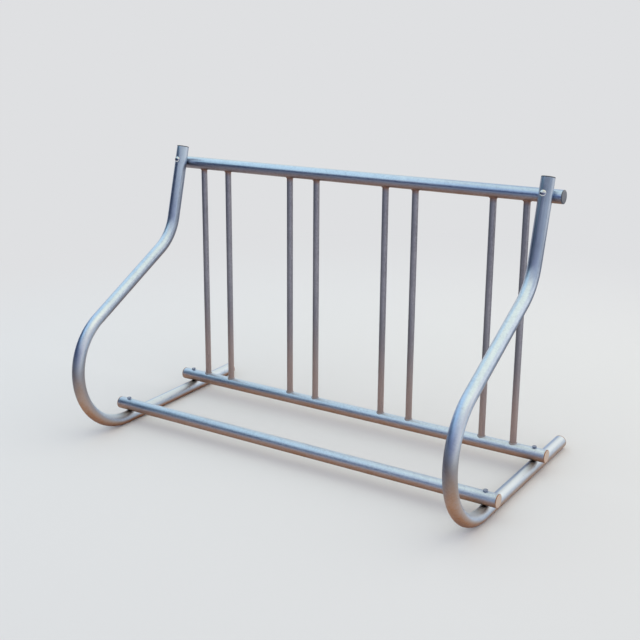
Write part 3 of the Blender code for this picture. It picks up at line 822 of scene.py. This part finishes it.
# Top bolts: an M8 domed bolt goes through each upright and the top rail from the front, with a
# plain washer and a hexagon nut behind the rail. All are bright zinc plated.
SHANK_RADIUS = 0.004
THREAD_PITCH = 0.00125
THREAD_DEPTH = 0.00075
THREAD_SINK = 0.0002
THREAD_LENGTH = 0.016
TIP_CHAMFER = 0.0006
BOLT_TAIL = 0.003
DOME_RADIUS = 0.010
DOME_HEIGHT = 0.005
DOME_RIM = 0.0008
DOME_RINGS = 10
HEX_FLATS = 0.013
HEX_CORNERS = HEX_FLATS / 2 / math.cos(math.pi / 6)
CORNER_WIDTH = 0.0014
CORNER_DROP = 0.0008
NUT_HEIGHT = 0.0065
NUT_BORE = 0.0042
NUT_EDGE = 0.00022
WASHER_RADIUS = 0.008
WASHER_BORE = 0.0043
WASHER_THICKNESS = 0.0016
FINE_EDGE = 0.0002
PLATE_SPOT_MM = 3.8
SCRATCH_MM = 0.67


def plated_steel(name, dark, light, shine):
    """Zinc-plated steel in two tones, duller or brighter by its shine."""
    made, tree = new_finish(name, blank=False)
    place = put(tree, "TexCoord").outputs["Object"]
    thin_places = {"Vector": place, "Scale": 1000 / PLATE_SPOT_MM, "Detail": 6.0, "Roughness": 0.6}
    spots = put(tree, "TexNoise", thin_places).outputs["Fac"]
    spanner = {"Vector": place, "Scale": 1000 / SCRATCH_MM, "Detail": 2.0, "Distortion": 1.5}
    scratches = put(tree, "TexNoise", spanner).outputs["Fac"]
    plate = put(tree, "ValToRGB", {"Fac": spots}, stops=((0.3, dark), (0.65, light))).outputs["Color"]
    rough = overlap(tree, {"spots": spots}, (("spots", 0.3, 0.7, *shine),))
    bare_metal(tree, plate, rough, scratches, strength=0.10, distance=0.0001)
    return made


def threaded_shank(length):
    """A shank down local Z from nought, with a cut thread on its last stretch and a chamfered tip."""
    plain_length = length - THREAD_LENGTH
    bpy.ops.mesh.primitive_cylinder_add(
        vertices=32, radius=SHANK_RADIUS, depth=plain_length, location=(0, 0, -plain_length / 2)
    )
    shank = bpy.context.object
    settle(shank)
    edit(lambda face: face.normal.z < -0.9)
    bpy.ops.mesh.inset(thickness=THREAD_DEPTH)
    bpy.ops.mesh.extrude_region_move(TRANSFORM_OT_translate={"value": (0, 0, -THREAD_LENGTH)})
    bpy.ops.mesh.inset(thickness=TIP_CHAMFER)
    bpy.ops.transform.translate(value=(0, 0, -TIP_CHAMFER / 2))
    done()
    turns = int((THREAD_LENGTH - TIP_CHAMFER) / THREAD_PITCH)
    bpy.ops.mesh.primitive_circle_add(
        vertices=3, radius=0.001, fill_type="NOTHING", rotation=(math.pi / 2, 0, 0)
    )
    ridge = bpy.context.object
    settle(ridge)
    top = -plain_length - TIP_CHAMFER
    foot = SHANK_RADIUS - THREAD_DEPTH - THREAD_SINK
    profile = ((foot, top), (SHANK_RADIUS, top - THREAD_PITCH * 0.5), (foot, top - THREAD_PITCH * 0.98))
    for point, (radius, z) in zip(ridge.data.vertices, profile):
        point.co = (radius, 0, z)
    apply_modifier(
        ridge, "SCREW", screw_offset=-THREAD_PITCH, iterations=turns - 1, steps=24, render_steps=24,
        angle=2 * math.pi, use_merge_vertices=False
    )
    edit(lambda edge: False, "EDGE")
    bpy.ops.mesh.select_non_manifold()
    bpy.ops.mesh.fill_holes(sides=4)
    bpy.ops.mesh.select_all(action="SELECT")
    bpy.ops.mesh.normals_make_consistent(inside=False)
    done()
    pick(ridge, shank)
    bpy.ops.object.join()
    return shank


def hexagon(height, both_ends):
    """A slice of hexagon bar on local Z nought, its corners turned off at the top, or at both ends."""
    bpy.ops.mesh.primitive_cylinder_add(
        vertices=6, radius=HEX_CORNERS, depth=height, location=(0, 0, height / 2)
    )
    body = bpy.context.object
    settle(body)
    bpy.ops.mesh.primitive_cylinder_add(
        vertices=72, radius=HEX_CORNERS + 0.0001, depth=height, location=(0, 0, height / 2)
    )
    lathe = bpy.context.object
    settle(lathe)
    for end in (1, -1) if both_ends else (1,):
        edit(lambda face: face.normal.z * end > 0.9)
        bpy.ops.mesh.inset(thickness=CORNER_WIDTH)
        done()
        for point in lathe.data.vertices:
            outside = math.hypot(point.co.x, point.co.y) > HEX_FLATS / 2
            if outside and (point.co.z - height / 2) * end > 0:
                point.co.z -= CORNER_DROP * end
    apply_modifier(body, "BOOLEAN", operation="INTERSECT", object=lathe, solver="EXACT")
    bpy.data.objects.remove(lathe)
    return body


# Bright zinc electroplate on turned steel: nearly white and glossy, spotted where it is thin and
# scratched by the spanner. Spots and scratches are drawn coarser than the real ones of 1 and 0.1 mm.
bolt_zinc = plated_steel("bright_zinc_plate", "#B9BDC2", "#DEE2E6", (0.22, 0.13))

grip = 4 * PIPE_RADIUS + 4 * TOUCH_GAP + WASHER_THICKNESS
bolt = threaded_shank(grip + NUT_HEIGHT + BOLT_TAIL)
bpy.ops.mesh.primitive_cylinder_add(
    vertices=64, radius=DOME_RADIUS, depth=DOME_RIM, location=(0, 0, DOME_RIM / 2)
)
domed_bolt = bpy.context.object
settle(domed_bolt)
edit(lambda face: face.normal.z > 0.9)
for ring in range(1, DOME_RINGS):
    before = math.radians(90 * (ring - 1) / DOME_RINGS)
    after = math.radians(90 * ring / DOME_RINGS)
    lift = (DOME_HEIGHT - DOME_RIM) * (math.sin(after) - math.sin(before))
    shrink = math.cos(after) / math.cos(before)
    bpy.ops.mesh.extrude_region_move(TRANSFORM_OT_translate={"value": (0, 0, lift)})
    bpy.ops.transform.resize(value=(shrink, shrink, 1))
bpy.ops.mesh.poke()
done()
for point in domed_bolt.data.vertices:
    if math.hypot(point.co.x, point.co.y) < 0.0001 and point.co.z > DOME_HEIGHT / 2:
        point.co.z = DOME_HEIGHT
pick(bolt, domed_bolt)
bpy.ops.object.join()

bpy.ops.mesh.primitive_cylinder_add(
    vertices=56, radius=WASHER_RADIUS, depth=WASHER_THICKNESS, location=(0, 0, WASHER_THICKNESS / 2)
)
washer = bpy.context.object
settle(washer)
drill(washer, (0, 0, 0), (0, 0, 1), WASHER_BORE, WALL_DRILL)
break_edges(washer, FINE_EDGE, over=50, segments=2)

nut = hexagon(NUT_HEIGHT, True)
drill(nut, (0, 0, NUT_HEIGHT / 2), (0, 0, 1), NUT_BORE, WALL_DRILL)
break_edges(nut, NUT_EDGE, over=50, segments=2)

washer_at = 3 * PIPE_RADIUS + 2 * TOUCH_GAP
nut_at = washer_at + WASHER_THICKNESS + TOUCH_GAP
for side, x in (("left", -FRAME_X), ("right", FRAME_X)):
    middle = TOP_BOLT + Vector((x, 0, 0))
    made = copy_of(domed_bolt, middle - BOLT_AXIS * (PIPE_RADIUS + TOUCH_GAP), turned(-BOLT_AXIS))
    piece(made, "top_domed_bolt_" + side, bolt_zinc, "zinc_fastener", "top_bolt_" + side)
    made = copy_of(washer, middle + BOLT_AXIS * washer_at, turned(BOLT_AXIS))
    piece(made, "top_plain_washer_" + side, bolt_zinc, "zinc_fastener", "top_washer_" + side)
    made = copy_of(nut, middle + BOLT_AXIS * nut_at, turned(BOLT_AXIS))
    piece(made, "top_hexagon_nut_" + side, bolt_zinc, "zinc_fastener", "top_nut_" + side)
bpy.data.objects.remove(domed_bolt)

# Lower bolts: a hexagon M8 bolt drops through each end of a lower rail into the ground tube. Its
# washer and nut sit inside the tube and are reached through a hole in its underside.
HEAD_HEIGHT = 0.0053
HEAD_TURN = {"front": math.radians(11), "rear": math.radians(34)}

# The same plate, painted darker grey-blue as painted shade on the low bolts, and dull, with the spots still
# to be seen.
dark_zinc = plated_steel("dark_zinc_plate_with_painted_shade", "#808AA2", "#9CA6BA", (0.40, 0.30))

head_z = LOWER_RAIL_Z + PIPE_RADIUS + TOUCH_GAP
washer_z = PIPE_RADIUS + math.sqrt((PIPE_RADIUS - PIPE_WALL)**2 - WASHER_RADIUS**2) - TOUCH_GAP
nut_z = washer_z - WASHER_THICKNESS - TOUCH_GAP
bolt = threaded_shank(head_z - nut_z + NUT_HEIGHT + BOLT_TAIL)
hex_bolt = hexagon(HEAD_HEIGHT, False)
break_edges(hex_bolt, FINE_EDGE, over=50, segments=2)
pick(bolt, hex_bolt)
bpy.ops.object.join()
for row, y in LOWER_RAILS_Y.items():
    for side, x in (("left", -FRAME_X), ("right", FRAME_X)):
        ending = "_" + row + "_" + side
        made = copy_of(hex_bolt, (x, y, head_z), (0, 0, HEAD_TURN[row]))
        piece(made, "lower_hexagon_bolt" + ending, dark_zinc, "zinc_fastener", "lower_bolt" + ending)
        made = copy_of(washer, (x, y, washer_z), (math.pi, 0, 0))
        piece(made, "lower_plain_washer" + ending, dark_zinc, "zinc_fastener", "lower_washer" + ending)
        made = copy_of(nut, (x, y, nut_z), (math.pi, 0, 0))
        piece(made, "lower_hexagon_nut" + ending, dark_zinc, "zinc_fastener", "lower_nut" + ending)
for spare in (hex_bolt, washer, nut):
    bpy.data.objects.remove(spare)

# Size: the box that the dressed rack fills, without the floor, the stage cloths and the hidden CAD.
bpy.context.view_layer.update()
low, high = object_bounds()
